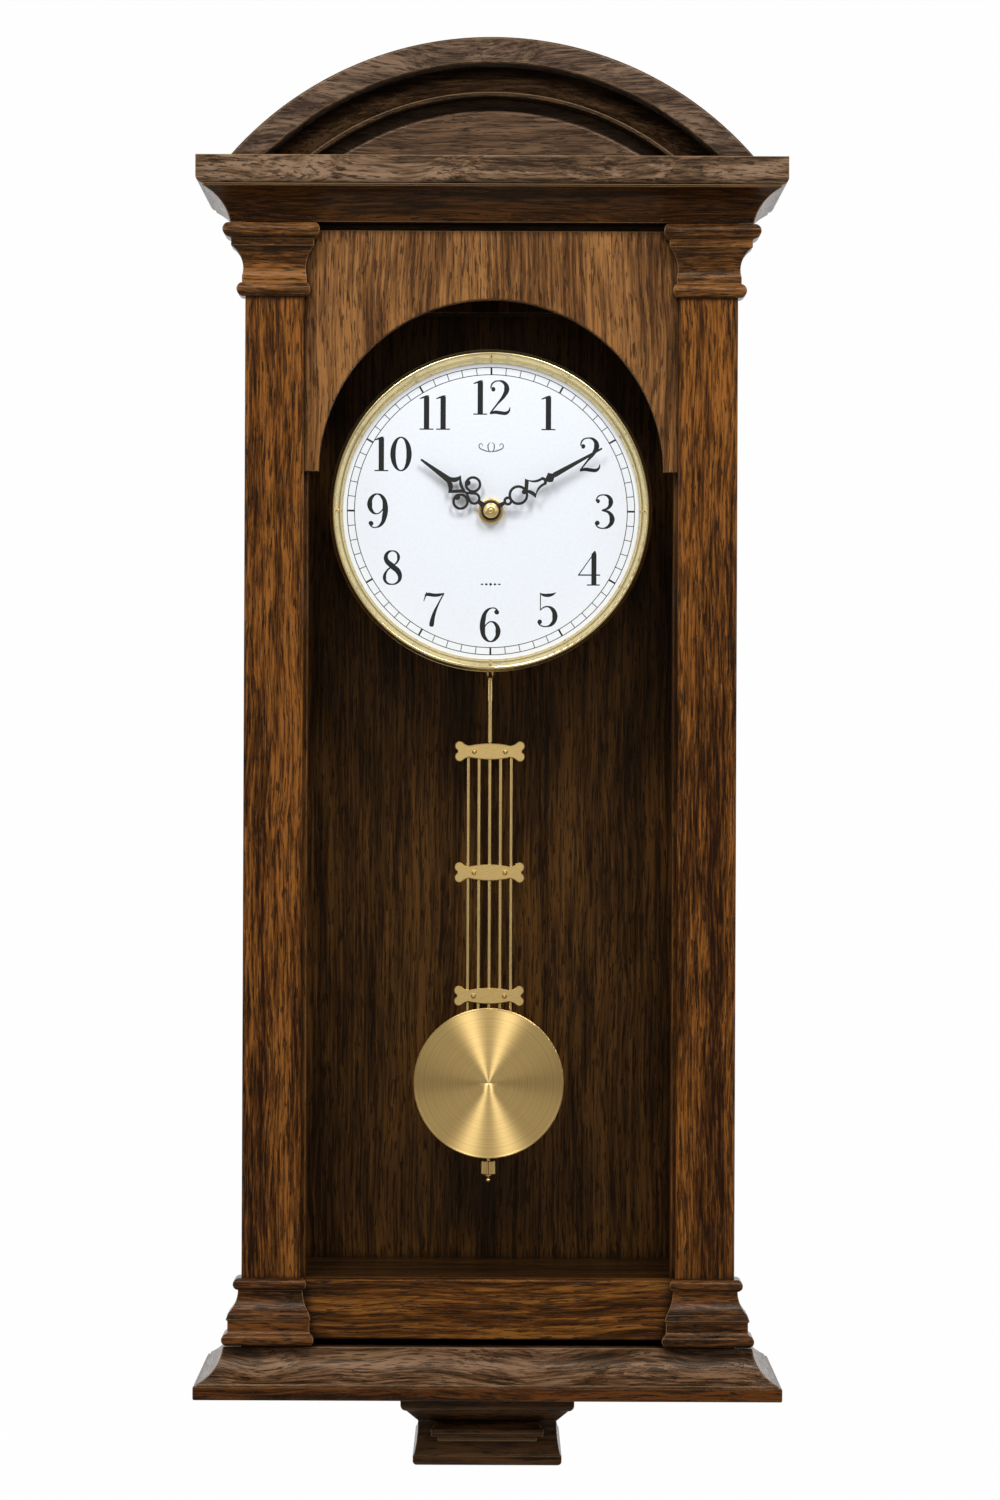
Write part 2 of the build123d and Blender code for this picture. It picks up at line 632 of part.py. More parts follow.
def movement_case():
    """The two plastic shells, the bridge between them and the nut that clamps the dial."""
    at = arbor_places()
    z_low, z_high = DIAL_Z - MOVEMENT_DOWN, DIAL_Z + MOVEMENT_UP
    inner_x = MOVEMENT_X - SHELL_WALL
    pivot = ARBOR_R + PIVOT_GAP
    front = block(-MOVEMENT_X, MOVEMENT_X, SHELL_FRONT_Y, SHELL_JOIN_Y, z_low, z_high)
    front = eased(front, 3.0, Axis.Y)
    inner_front_y = SHELL_FRONT_Y + SHELL_WALL
    front -= block(
        -inner_x, inner_x, inner_front_y, -60, z_low + SHELL_WALL, z_high - SHELL_WALL
    )
    front += shaft(4.0, SHELL_FRONT_Y + 0.5, -86.9, *at["centre"])
    front += shaft(0.65, -78.4, inner_front_y - 0.2, *at["motion"])
    front -= shaft(3.0, -80.0, -88.0, *at["centre"])
    for name in ("third", "knob"):
        front -= shaft(pivot, -80.0, -82.1, *at[name])

    rear = block(-MOVEMENT_X, MOVEMENT_X, SHELL_JOIN_Y, SHELL_BACK_Y, z_low, z_high)
    rear = eased(rear, 3.0, Axis.Y)
    rear -= block(
        -inner_x, inner_x, -75, SHELL_BACK_Y - SHELL_WALL, z_low + SHELL_WALL, z_high - SHELL_WALL
    )
    rear -= block(-26.0, 26.0, -75, -55, DIAL_Z + 12.9, DIAL_Z + 28.1)
    rear -= shaft(1.26, -55, -70, *at["knob"])
    rear += shaft(2.4, SHELL_BACK_Y - 0.5, -66.0, 0, PIVOT_Z)
    rear -= shaft(1.03, -60, -67, 0, PIVOT_Z)

    bridge = block(-25.0, 7.0, -71.6, -70.8, DIAL_Z - 15.8, DIAL_Z + 12.3)
    for x, z in ((-23.0, 10.3), (-23.0, -12.0), (4.0, -14.0)):
        bridge += shaft(1.5, -71.0, inner_front_y, x, DIAL_Z + z)
    for name in ("centre", "third"):
        bridge -= shaft(pivot, -70.0, -72.0, *at[name])

    nut_face = [(4.05, 0), (4.05, 2.4), (5.9, 2.4), (6.5, 1.8, 0.18), (6.5, 0)]
    nut = turned(nut_face, -84.05, 0, DIAL_Z)
    return {
        "movement_front_shell": front,
        "movement_rear_cover": rear,
        "train_bridge": bridge,
        "movement_ring_nut": nut,
    }


def movement_electrics():
    """Motor, battery, circuit board and the coil that pulls the pendulum's magnet."""
    # The motor: a slotted steel stator, a coil on its lower limb and a magnet rotor.
    motor_x, coil_z, rotor_z = -12.0, DIAL_Z - 31.3, DIAL_Z - 20.4
    stator_front, stator_back = -74.4, -73.4
    stator_low, stator_high = DIAL_Z - 33.0, DIAL_Z - 17.2
    window_low, window_high = DIAL_Z - 29.6, DIAL_Z - 23.6
    stator = block(motor_x - 13.0, motor_x + 13.0, stator_front, stator_back, stator_low, stator_high)
    stator -= block(motor_x - 9.5, motor_x + 9.5, -76, -72, window_low, window_high)
    stator -= disc(2.7, 4, -72, motor_x, rotor_z)
    coil = Pos(motor_x, -73.9, coil_z) * Rot(0, 90, 0) * Cylinder(4.0, 17.0)
    coil -= block(-25, 1, stator_front - 0.1, stator_back + 0.1, stator_low - 0.1, window_low + 0.1)
    rotor = shaft(2.3, -72.6, -75.2, motor_x, rotor_z)
    rotor += shaft(0.5, -70.9, -81.3, motor_x, rotor_z)

    # One size AA cell across the top of the movement, between its two spring contacts.
    cell_r, cell_length, cell_y, cell_z = 7.1, 49.0, -71.9, DIAL_Z + 20.5
    lying = Rot(0, 90, 0)
    battery = Pos(0, cell_y, cell_z) * lying * Cylinder(cell_r, cell_length)
    battery += Pos(25.0, cell_y, cell_z) * lying * Cylinder(2.7, 1.2)
    contacts = [
        block(x, x + 0.3, -77, -66.5, cell_z - 5, cell_z + 5) for x in (-26.0, 25.7)
    ]
    contacts.append(Pos(-25.1, cell_y, cell_z) * lying * Cylinder(3.0, 1.1))

    # The circuit board with its sealed chip, and the coil that faces the pendulum's magnet.
    board = block(4.0, 25.0, -80.6, -79.6, DIAL_Z - 38.0, DIAL_Z - 22.0)
    board += disc(4.0, 1.4, -78.2, 14.0, DIAL_Z - 30.0)
    pull_coil = disc(7.0, 3.0, -62.6, 0, MAGNET_Z, bore=2.4)
    return {
        "motor_stator": stator,
        "motor_coil": coil,
        "motor_rotor": rotor,
        "battery": battery,
        "battery_contacts": Compound(contacts),
        "circuit_board": board,
        "pendulum_coil": pull_coil,
    }


# ---- Pendulum ----


def lyre_plate_face():
    """A dog-bone shaped cross plate: bowed in the middle, with two lobes at each end."""
    neck_x, neck, end_x, lobe_x, lobe_z, lobe_r = 10.6, 2.95, 16.7, 15.6, 2.75, 2.45
    face = outline([(-neck_x, -neck), (neck_x, -neck, -1.2), (neck_x, neck), (-neck_x, neck, -1.2)])
    for side in (-1, 1):
        flare = [(side * neck_x, -neck), (side * 14.3, -4.9, side * 0.35), (side * end_x, -1.4)]
        flare += [(side * end_x, 1.4), (side * 14.3, 4.9), (side * neck_x, neck, side * 0.35)]
        face += outline(flare)
        for up in (-1, 1):
            face += Pos(side * lobe_x, up * lobe_z) * Circle(lobe_r)
    return face


def pendulum_hanging():
    """The leader that the movement drives, its pin and magnet, and the hook below it."""
    leader_front, leader_back = -57.0, -54.0
    leader = block(-3.0, 3.0, leader_front, leader_back, -186.0, PIVOT_Z + 3.0)
    leader = eased(leader, 1.5, Axis.Y)
    leader += disc(4.2, leader_back - leader_front, leader_back, 0, PIVOT_Z)
    leader += block(-0.7, 0.7, leader_front, leader_back, -208.5, -185.0)
    leader -= shaft(1.06, -50, -60, 0, PIVOT_Z)
    hook_pin_z, hook_pin_r = -205.0, 0.6
    cross = Rot(0, 90, 0) * Cylinder(hook_pin_r, 4.4)
    leader -= Pos(0, PENDULUM_Y, hook_pin_z) * Rot(0, 90, 0) * Cylinder(hook_pin_r + 0.1, 6)
    magnet = disc(4.0, 3.2, leader_front, 0, MAGNET_Z)
    pin = shaft(1.0, -53.4, -65.8, 0, PIVOT_Z) + disc(2.0, 0.8, -52.6, 0, PIVOT_Z)

    ferrule = turned_upright(
        [(0, FERRULE_LOW_Z), (1.7, FERRULE_LOW_Z), (1.7, -212.6), (2.6, -209.0, 0.3)]
        + [(2.5, -202.4, -0.2), (0, -202.4)],
        0,
        PENDULUM_Y,
    )
    ferrule -= block(-0.95, 0.95, -60, -50, -210.5, -200)
    ferrule -= Pos(0, PENDULUM_Y, FERRULE_LOW_Z) * Cylinder(1.38, 12)
    ferrule += Pos(0, PENDULUM_Y, hook_pin_z) * cross
    return {
        "pendulum_leader": leader,
        "leader_magnet": magnet,
        "leader_pivot_pin": pin,
        "pendulum_hook": ferrule,
    }


def pendulum():
    """Rods, cross plates, rivets, bob and rating nut."""
    upper_r, thread_r = 1.35, 1.2
    rod = turned_upright(
        [(0, -216.2), (upper_r, -216.2), (upper_r, -243.4), (ROD_R, -243.9), (ROD_R, -450.0)]
        + [(thread_r, -450.4), (thread_r, -464.5), (0, -464.5)],
        0,
        PENDULUM_Y,
    )
    outer_rods = []
    outer_top, outer_low = PLATE_Z[0], -395.0
    for step in (-2, -1, 1, 2):
        middle = Pos(step * ROD_PITCH, PENDULUM_Y, (outer_top + outer_low) / 2)
        outer_rods.append(middle * Cylinder(ROD_R, outer_top - outer_low))
    plate_back, plate_thick = -56.1, 1.2
    plate = extrude(lyre_plate_face(), plate_thick)
    for side in (-1, 1):
        plate -= Pos(side * RIVET_X, 0) * extrude(Circle(0.85), plate_thick)
    plates = [facing(plate, plate_back, 0, z) for z in PLATE_Z]
    rivet_profile = [(0, -2.9), (1.3, -2.9), (1.3, -2.3), (0.8, -2.3), (0.8, 1.22), (1.35, 1.22)]
    rivet_profile += [(0.8, 1.95, -0.1), (0, 2.15)]
    rivets = []
    for z in PLATE_Z:
        for x in (-RIVET_X, RIVET_X):
            rivets.append(turned(rivet_profile, plate_back, x, z))

    edge = 0.6
    bob_profile = [(0, 0), (BOB_R - edge, 0), (BOB_R, edge, -0.15), (BOB_R, 1.2)]
    bob_profile += [(BOB_R - edge, 1.7, -0.15), (BOB_R - 1.1, 1.55), (0, 1.9)]
    bob = turned(bob_profile, -59.6, 0, BOB_Z)
    weight_profile = [(0, 0), (36.6, 0), (38.6, 1.2), (38.6, 3.3), (0, 3.3)]
    weight = turned(weight_profile, -56.2, 0, BOB_Z)

    nut_r, nut_top, nut_low = 3.85, -459.3, -466.2
    grip = []
    flutes = 30
    for i in range(2 * flutes):
        radius = nut_r if i % 2 else nut_r - 0.28
        angle = math.pi * i / flutes
        grip.append((radius * math.cos(angle), radius * math.sin(angle)))
    grip_face = make_face(Polyline(*grip, close=True))
    nut = Pos(0, PENDULUM_Y, nut_low) * extrude(grip_face, nut_top - nut_low)
    finial = [(0, -466.2), (2.5, -466.2), (2.5, -466.8), (0.9, -468.4, -0.3), (1.1, -470.1, 0.55)]
    finial += [(0.6, -470.6, 0.1), (0, -470.8)]
    nut += turned_upright(finial, 0, PENDULUM_Y)
    nut &= turned_upright(
        [(0, -471), (3.3, -471), (3.3, -466.3), (3.95, -465.7), (3.95, -459.8), (3.3, -459.2)]
        + [(0, -459.2)],
        0,
        PENDULUM_Y,
    )
    nut -= Pos(0, PENDULUM_Y, -462.0) * Cylinder(thread_r + 0.06, 6.4)
    return {
        "pendulum_rod": rod,
        "lyre_rods": Compound(outer_rods),
        "lyre_plates": Compound(plates),
        "lyre_rivets": Compound(rivets),
        "pendulum_bob": bob,
        "bob_weight": weight,
        "rating_nut": nut,
    }


def single_shape(shape):
    """One exportable shape, whatever an operation returned."""
    solids = shape.solids()
    return solids[0] if len(solids) == 1 else Compound(solids)


os.makedirs("parts", exist_ok=True)
nodes = {}
for make in (
    case_boards,
    arch_panel,
    capital_and_foot,
    cornice,
    base,
    pediment,
    pendant,
    hanger,
    dial,
    hands,
    movement_case,
    train,
    movement_electrics,
    pendulum_hanging,
    pendulum,
):
    nodes.update(make())
for node, shape in nodes.items():
    export_step(single_shape(shape), f"parts/{node}.step")
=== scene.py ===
import math

import bpy
from mathutils import Euler, Matrix, Vector


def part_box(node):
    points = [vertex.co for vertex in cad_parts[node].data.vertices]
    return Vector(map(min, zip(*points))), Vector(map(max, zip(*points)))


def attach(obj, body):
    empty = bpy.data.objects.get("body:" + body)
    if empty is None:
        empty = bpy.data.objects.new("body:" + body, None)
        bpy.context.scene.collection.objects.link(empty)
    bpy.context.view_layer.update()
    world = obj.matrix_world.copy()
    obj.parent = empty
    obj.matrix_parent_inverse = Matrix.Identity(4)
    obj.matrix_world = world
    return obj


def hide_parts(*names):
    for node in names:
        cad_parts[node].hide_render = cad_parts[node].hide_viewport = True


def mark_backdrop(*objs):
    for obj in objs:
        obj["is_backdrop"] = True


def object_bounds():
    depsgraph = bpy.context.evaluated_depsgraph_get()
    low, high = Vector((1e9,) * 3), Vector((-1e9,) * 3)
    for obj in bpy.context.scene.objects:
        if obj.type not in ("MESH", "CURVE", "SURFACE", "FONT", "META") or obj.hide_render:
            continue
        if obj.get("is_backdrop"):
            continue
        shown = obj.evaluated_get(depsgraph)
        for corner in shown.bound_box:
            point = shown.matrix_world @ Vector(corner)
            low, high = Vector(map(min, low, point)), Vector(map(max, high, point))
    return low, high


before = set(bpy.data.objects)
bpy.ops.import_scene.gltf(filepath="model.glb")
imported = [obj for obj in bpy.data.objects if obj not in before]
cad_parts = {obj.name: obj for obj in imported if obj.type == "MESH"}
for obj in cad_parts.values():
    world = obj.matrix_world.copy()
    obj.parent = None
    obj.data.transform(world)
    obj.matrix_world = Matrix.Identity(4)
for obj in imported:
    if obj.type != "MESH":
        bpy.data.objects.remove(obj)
bpy.ops.object.select_all(action="DESELECT")
lowest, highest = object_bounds()
cad_box = [list(lowest), list(highest)]


# The case boards: two sides, two front stiles with the wide pilasters on them, the back and the
# boards between them. They are oak, planed and glued, stained dark brown and given a satin
# lacquer, so that the open pores stay dark and the fibres between them keep a warm streak.
MM = 0.001

# Oak as cut and finished here, and the reach of the painted shade in its corners, in millimetres
TRUNK_WANDER_LENGTH = 90.9
RING_WIDTH = 11.0
RING_LENGTH = 190.0
PORE_WIDTH = 0.9
PORE_LENGTH = 11.0
GRAIN_DEPTH = 0.24
SANDED_EDGE = 0.9
PAINTED_SHADE_REACH = 8.0

# How much of a patch's colour the growth rings, the pores and the painted edge highlight take, from 0 to 1
RING_SHARE = 0.5
PORE_SHARE = 0.75
PORE_DARKENING = 0.4
EDGE_HIGHLIGHT_SHARE = 0.7

BLACK = [0.0, 0.0, 0.0, 1.0]
WHITE = [1.0, 1.0, 1.0, 1.0]
# The pale oak colour painted along the edges as a painted highlight
EDGE_HIGHLIGHT_OAK = "#a3845c"
# The darkest painted shade in the corners and quirks of the mouldings
DEEPEST_PAINTED_SHADE = [0.16, 0.13, 0.11, 1.0]
LACQUER_SHINE = 0.25
LACQUER_WARMTH = "#ffe6cc"


def linear(colour):
    """A colour written as sRGB hex, in the linear values that shaders read."""
    values = [int(colour[i:i + 2], 16) / 255 for i in (1, 3, 5)]
    return [v / 12.92 if v <= 0.04045 else ((v + 0.055) / 1.055) ** 2.4 for v in values] + [1.0]


def add_node(tree, kind, settings=None, inputs=None):
    """Adds a node with its settings. An input is given a plain value or another node's output."""
    node = tree.nodes.new(kind)
    for name, value in (settings or {}).items():
        setattr(node, name, value)
    for name, value in (inputs or {}).items():
        if isinstance(value, bpy.types.NodeSocket):
            tree.links.new(value, node.inputs[name])
        else:
            node.inputs[name].default_value = value
    return node


def surfaced(name, shader):
    """A new material with an empty tree: its tree, its shader node and its object coordinates."""
    material = bpy.data.materials.new(name)
    material.use_nodes = True
    tree = material.node_tree
    tree.nodes.clear()
    bsdf = add_node(tree, shader)
    output = add_node(tree, "ShaderNodeOutputMaterial")
    tree.links.new(bsdf.outputs[0], output.inputs["Surface"])
    place = add_node(tree, "ShaderNodeTexCoord").outputs["Object"]
    return material, tree, bsdf, place


def stops(tree, factor, colours):
    """A colour ramp through (position, linear colour) pairs, read at a factor."""
    ramp = add_node(tree, "ShaderNodeValToRGB", inputs={"Fac": factor})
    elements = ramp.color_ramp.elements
    while len(elements) < len(colours):
        elements.new(0.5)
    for element, (position, colour) in zip(elements, colours):
        element.position = position
        element.color = colour
    return ramp.outputs["Color"]


def oak(
    name, light, middle, dark, along, shift, wander=4.0, fibre=1.5, fibre_length=32.0, sheen=0.28
):
    """Stained oak with its grain along X, Y or Z. Sizes are in millimetres."""
    material, tree, bsdf, place = surfaced(name, "ShaderNodeBsdfPrincipled")

    # The trunk's slow wander bends the grain, and each board is cut from another place in it.
    drift = add_node(
        tree,
        "ShaderNodeTexNoise",
        inputs={"Vector": place, "Scale": 1 / (TRUNK_WANDER_LENGTH * MM), "Detail": 1.5},
    ).outputs["Color"]
    centred = add_node(
        tree, "ShaderNodeVectorMath", {"operation": "SUBTRACT"}, {0: drift, 1: (0.5, 0.5, 0.5)}
    ).outputs[0]
    bent = add_node(
        tree,
        "ShaderNodeVectorMath",
        {"operation": "MULTIPLY_ADD"},
        {0: centred, 1: [wander * 2 * MM] * 3, 2: place},
    ).outputs[0]
    grain = add_node(
        tree,
        "ShaderNodeVectorMath",
        {"operation": "ADD"},
        {0: bent, 1: (shift, shift * 0.7, shift * 1.3)},
    ).outputs[0]

    def streaks(width, length, detail, roughness=0.5):
        """Noise in patches that wide across the grain and that long with it."""
        scale = [1 / (length * MM) if axis == along else 1 / (width * MM) for axis in "XYZ"]
        stretched = add_node(
            tree, "ShaderNodeMapping", inputs={"Vector": grain, "Scale": scale}
        ).outputs[0]
        return add_node(
            tree,
            "ShaderNodeTexNoise",
            inputs={"Vector": stretched, "Scale": 1.0, "Detail": detail, "Roughness": roughness},
        ).outputs["Fac"]

    rings = streaks(RING_WIDTH, RING_LENGTH, 2.0)
    fibres = streaks(fibre, fibre_length, 6.0, 0.72)
    pores = streaks(PORE_WIDTH, PORE_LENGTH, 2.0)
    tone = add_node(
        tree,
        "ShaderNodeMath",
        {"operation": "MULTIPLY_ADD"},
        {0: rings, 1: RING_SHARE, 2: -RING_SHARE / 2},
    ).outputs[0]
    mixed = add_node(tree, "ShaderNodeMath", {"operation": "ADD"}, {0: tone, 1: fibres}).outputs[0]
    body = stops(tree, mixed, [(0.38, linear(dark)), (0.5, linear(middle)), (0.62, linear(light))])
    pore_mask = stops(tree, pores, [(0.58, BLACK), (0.61, WHITE)])
    pore_share = add_node(
        tree, "ShaderNodeMath", {"operation": "MULTIPLY"}, {0: pore_mask, 1: PORE_SHARE}
    ).outputs[0]
    pore_colour = [v * PORE_DARKENING for v in linear(dark)[:3]] + [1.0]
    stained = add_node(
        tree, "ShaderNodeMix", {"data_type": "RGBA"}, {"Factor": pore_share, 6: body, 7: pore_colour}
    ).outputs[2]

    # Sanding rounds every edge a little. A paler line is painted along every edge as a painted highlight,
    # for the light that the rounded edges catch.
    rounded = add_node(
        tree, "ShaderNodeBevel", {"samples": 6}, {"Radius": SANDED_EDGE * MM}
    ).outputs[0]
    facing = add_node(tree, "ShaderNodeNewGeometry").outputs["Normal"]
    flatness = add_node(
        tree, "ShaderNodeVectorMath", {"operation": "DOT_PRODUCT"}, {0: rounded, 1: facing}
    ).outputs["Value"]
    painted_edge_highlight = stops(tree, flatness, [(0.9, [EDGE_HIGHLIGHT_SHARE] * 3 + [1.0]), (0.985, BLACK)])
    edge_highlighted = add_node(
        tree, "ShaderNodeMix", {"data_type": "RGBA"}, {"Factor": painted_edge_highlight, 6: stained, 7: linear(EDGE_HIGHLIGHT_OAK)}
    ).outputs[2]

    # The corners and quirks of the mouldings are painted darker than the faces, as painted shade where
    # less light reaches.
    openness = add_node(
        tree, "ShaderNodeAmbientOcclusion", {"samples": 6}, {"Distance": PAINTED_SHADE_REACH * MM}
    ).outputs["AO"]
    painted_corner_shade = stops(tree, openness, [(0.3, DEEPEST_PAINTED_SHADE), (0.85, WHITE)])
    shade = add_node(
        tree,
        "ShaderNodeMix",
        {"data_type": "RGBA", "blend_type": "MULTIPLY"},
        {"Factor": 1.0, 6: edge_highlighted, 7: painted_corner_shade},
    ).outputs[2]

    # The pores stay open under the thin lacquer, and the late wood between them takes more gloss.
    height = add_node(
        tree, "ShaderNodeMath", {"operation": "SUBTRACT"}, {0: fibres, 1: pore_share}
    ).outputs[0]
    relief = add_node(
        tree,
        "ShaderNodeBump",
        inputs={"Height": height, "Strength": 0.5, "Distance": GRAIN_DEPTH * MM, "Normal": rounded},
    ).outputs[0]
    gloss = add_node(
        tree,
        "ShaderNodeMapRange",
        inputs={
            "Value": fibres,
            "From Min": 0.3,
            "From Max": 0.7,
            "To Min": sheen + 0.08,
            "To Max": sheen - 0.06,
        },
    ).outputs[0]
    bsdf.inputs["Specular IOR Level"].default_value = LACQUER_SHINE
    bsdf.inputs["Specular Tint"].default_value = linear(LACQUER_WARMTH)
    for socket, value in {"Base Color": shade, "Roughness": gloss, "Normal": relief}.items():
        tree.links.new(value, bsdf.inputs[socket])
    return material


def give(material, *names):
    """Gives CAD pieces a material in place of the plain one that they came with."""
    for name in names:
        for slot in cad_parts[name].material_slots:
            slot.material = material


give(
    oak("stained_oak_stiles", "#875a2b", "#5f3a18", "#331a06", "Z", shift=0.31),
    "front_stiles",
    "side_boards",
)
give(
    oak(
        "stained_oak_pilasters", "#8c5724", "#56310f", "#200b01", "Z",
        shift=1.13, wander=3.0, fibre=1.3, fibre_length=26.0,
    ),
    "pilasters",
)
give(
    oak(
        "stained_oak_arch_panel", "#96683a", "#704a28", "#432812", "Z",
        shift=2.27, wander=5.0, fibre=1.9, fibre_length=60.0,
    ),
    "arch_panel",
)
give(oak("stained_oak_top_rail", "#7c5530", "#5c3b1c", "#331c0a", "X", shift=0.73), "top_rail")
give(
    oak(
        "dark_oak_back_panel", "#62401b", "#432a0f", "#201004", "Z",
        shift=3.41, wander=3.0, fibre=1.6, fibre_length=60.0,
    ),
    "back_panel",
)
give(
    oak(
        "dark_oak_inner_boards", "#4c3218", "#38230f", "#1e1006", "X",
        shift=0.19, wander=3.0, fibre=1.6, fibre_length=50.0,
    ),
    "case_floor_board",
    "case_top_board",
    "plinth_board",
    "dial_posts",
)

# The lower rail, the base boards and their coves run across the case. Their grain lies flat,
# and where the coves cut through the growth rings it opens into long slanting waves.
give(
    oak(
        "stained_oak_lower_rail", "#8c5922", "#58320e", "#271102", "X",
        shift=0.47, wander=6.0, fibre=1.7, fibre_length=40.0,
    ),
    "lower_rail",
)
give(
    oak("stained_oak_base_board", "#633815", "#3d1f08", "#1a0a02", "X", shift=1.61, wander=7.0),
    "base_board",
)
give(
    oak(
        "stained_oak_base_cove", "#84654a", "#553a24", "#23150a", "X",
        shift=2.93, wander=16.0, fibre=2.0, fibre_length=30.0, sheen=0.26,
    ),
    "base_front_cove",
)
give(
    oak("stained_oak_side_coves", "#77563a", "#563d27", "#302013", "Y", shift=0.87, wander=7.0),
    "base_side_coves",
    "cornice_side_coves",
)
give(
    oak(
        "stained_oak_pendant", "#4c3119", "#34200e", "#1a0e05", "X",
        shift=3.37, wander=6.0, fibre=1.7, fibre_length=36.0, sheen=0.26,
    ),
    "pendant_block",
    "pendant_front_bead",
)

# The cornice board, its cove and the arched pediment above it are worked from boards that lie
# flat, so the grain runs across the whole top. The arch is band-sawn and its cove is routed.
give(
    oak(
        "stained_oak_cornice_board", "#866c56", "#5a4431", "#271a11", "X",
        shift=4.19, wander=15.0, fibre=1.9, fibre_length=34.0, sheen=0.3,
    ),
    "cornice_board",
)
give(
    oak("stained_oak_cornice_cove", "#4a2a0d", "#2b1504", "#130701", "X", shift=1.91, wander=6.0),
    "cornice_front_cove",
)
give(
    oak(
        "stained_oak_pediment", "#76604d", "#564336", "#2f221a", "X",
        shift=2.59, wander=14.0, fibre=1.5, fibre_length=28.0, sheen=0.3,
    ),
    "pediment_arch",
)
# The cove's oak is coloured much darker than the arch's, as painted shade for the shadow that the band
# casts into the cove.
give(
    oak("shade_darkened_oak_pediment_cove", "#45311f", "#2c1d11", "#150c06", "X", shift=0.59, wander=6.0),
    "pediment_cove",
)
give(
    oak(
        "stained_oak_tympanum", "#6b523e", "#4f3a2a", "#2f2016", "X",
        shift=1.37, wander=8.0, fibre=1.6, fibre_length=50.0,
    ),
    "tympanum_panel",
)

# The capitals and feet of the pilasters are short lengths of moulding, mitred at the corners.
# The lacquer stands thicker on their small rounded members, so they are a little glossier.
give(
    oak(
        "stained_oak_capitals", "#85562a", "#573616", "#281304", "X",
        shift=3.83, wander=4.0, fibre=1.3, fibre_length=14.0, sheen=0.24,
    ),
    "capitals",
)
give(
    oak(
        "stained_oak_feet", "#6e421c", "#40230b", "#1b0b02", "X",
        shift=2.11, wander=4.0, fibre=1.3, fibre_length=14.0, sheen=0.22,
    ),
    "pilaster_feet",
)


# The hanger is a steel plate with a keyhole, let into the back panel and held by four screws. It
# is zinc plated and passivated, which leaves a soft, slightly cloudy grey shine. The movement's
# small steel parts have the same finish.
def metal(name, colour, worn, rough, cloud=9.0, along=(1.0, 1.0, 1.0), spread=0.12, dent=0.02):
    """A metal whose colour and polish vary in patches of a size in millimetres."""
    material, tree, bsdf, place = surfaced(name, "ShaderNodeBsdfPrincipled")
    scale = [factor / (cloud * MM) for factor in along]
    patch = add_node(tree, "ShaderNodeMapping", inputs={"Vector": place, "Scale": scale}).outputs[0]
    cloudy = add_node(
        tree, "ShaderNodeTexNoise", inputs={"Vector": patch, "Scale": 1.0, "Detail": 4.0}
    ).outputs["Fac"]
    shade = stops(tree, cloudy, [(0.35, linear(worn)), (0.62, linear(colour))])
    polish = add_node(
        tree,
        "ShaderNodeMapRange",
        inputs={
            "Value": cloudy,
            "From Min": 0.3,
            "From Max": 0.7,
            "To Min": rough + spread,
            "To Max": rough,
        },
    ).outputs[0]
    relief = add_node(
        tree, "ShaderNodeBump", inputs={"Height": cloudy, "Strength": 0.3, "Distance": dent * MM}
    ).outputs[0]
    bsdf.inputs["Metallic"].default_value = 1.0
    for socket, value in {"Base Color": shade, "Roughness": polish, "Normal": relief}.items():
        tree.links.new(value, bsdf.inputs[socket])
    return material


plated_steel = metal("zinc_plated_steel", "#a7a9a6", "#7f827f", 0.3)
give(
    plated_steel,
    "hanger_plate",
    "hanger_screws",
    "battery_contacts",
    "motor_stator",
    "motor_rotor",
    "leader_pivot_pin",
    "leader_magnet",
)


# The movement is two black injection-moulded shells around a white acetal going train. The
# shells are spark textured, which scatters the light, and the wheels have a dull waxy shine.
def moulded(name, colour, shadow, rough, grit):
    """A moulded plastic with a fine texture whose grit size is in millimetres."""
    material, tree, bsdf, place = surfaced(name, "ShaderNodeBsdfPrincipled")
    speckle = add_node(
        tree, "ShaderNodeTexNoise", inputs={"Vector": place, "Scale": 1 / (grit * MM), "Detail": 3.0}
    ).outputs["Fac"]
    shade = stops(tree, speckle, [(0.3, linear(shadow)), (0.6, linear(colour))])
    relief = add_node(
        tree, "ShaderNodeBump", inputs={"Height": speckle, "Strength": 0.35, "Distance": 0.06 * MM}
    ).outputs[0]
    bsdf.inputs["Roughness"].default_value = rough
    tree.links.new(shade, bsdf.inputs["Base Color"])
    tree.links.new(relief, bsdf.inputs["Normal"])
    return material


give(
    moulded("black_abs_spark_textured", "#232324", "#161617", 0.55, 0.5),
    "movement_front_shell",
    "movement_rear_cover",
    "train_bridge",
    "setting_knob",
    "pendulum_leader",
)
give(
    moulded("white_acetal_moulded", "#e9e6dc", "#d9d5c8", 0.45, 0.8),
    "third_wheel",
    "second_wheel",
    "motion_wheel",
    "hour_wheel",
    "centre_wheel",
)
give(moulded("green_fr4_laminate", "#1e5c32", "#17472a", 0.35, 0.9), "circuit_board")
give(moulded("blue_grey_battery_jacket", "#4a5866", "#414d5a", 0.35, 1.4), "battery")


